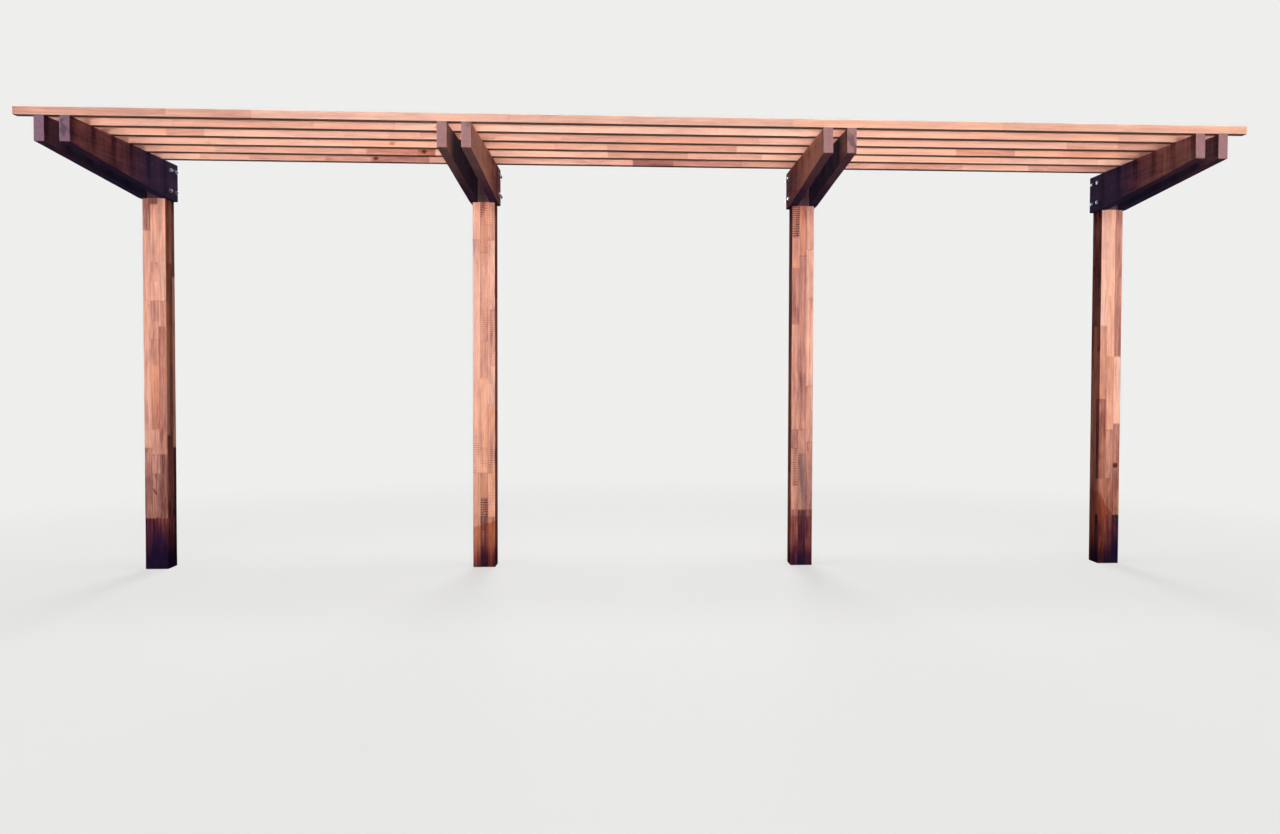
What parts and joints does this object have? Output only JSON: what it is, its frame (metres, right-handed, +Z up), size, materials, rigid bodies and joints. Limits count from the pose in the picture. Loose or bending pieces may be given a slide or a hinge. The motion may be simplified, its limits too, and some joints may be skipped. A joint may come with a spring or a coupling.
{
  "type": "timber pergola",
  "caption": "Single-row cantilevered timber pergola: laminated posts with bolted pairs of tapered rafters carrying full-length battens.",
  "frame": {"origin": "middle of the first post's foot, at ground level", "axes": "+X along the row of posts, -Y the way the rafters reach, +Z up"},
  "size_m": [5.33, 1.135, 2.125],
  "materials": {
    "post_timber": "oiled red-brown hardwood, laminated from finger-jointed staves",
    "rafter_timber": "oiled dark red-brown hardwood",
    "batten_timber": "oiled orange-brown finger-jointed hardwood",
    "galvanised_steel": "hot-dip galvanised"
  },
  "bodies": {
    "root": {"post_1": "post_timber", "rafter_1_left": "rafter_timber", "rafter_1_right": "rafter_timber", "bolts_1": "galvanised_steel", "post_2": "post_timber", "rafter_2_left": "rafter_timber", "rafter_2_right": "rafter_timber", "bolts_2": "galvanised_steel", "post_3": "post_timber", "rafter_3_left": "rafter_timber", "rafter_3_right": "rafter_timber", "bolts_3": "galvanised_steel", "post_4": "post_timber", "rafter_4_left": "rafter_timber", "rafter_4_right": "rafter_timber", "bolts_4": "galvanised_steel", "batten_1": "batten_timber", "batten_2": "batten_timber", "batten_3": "batten_timber", "batten_4": "batten_timber", "batten_5": "batten_timber", "batten_6": "batten_timber"}
  },
  "joints": []
}
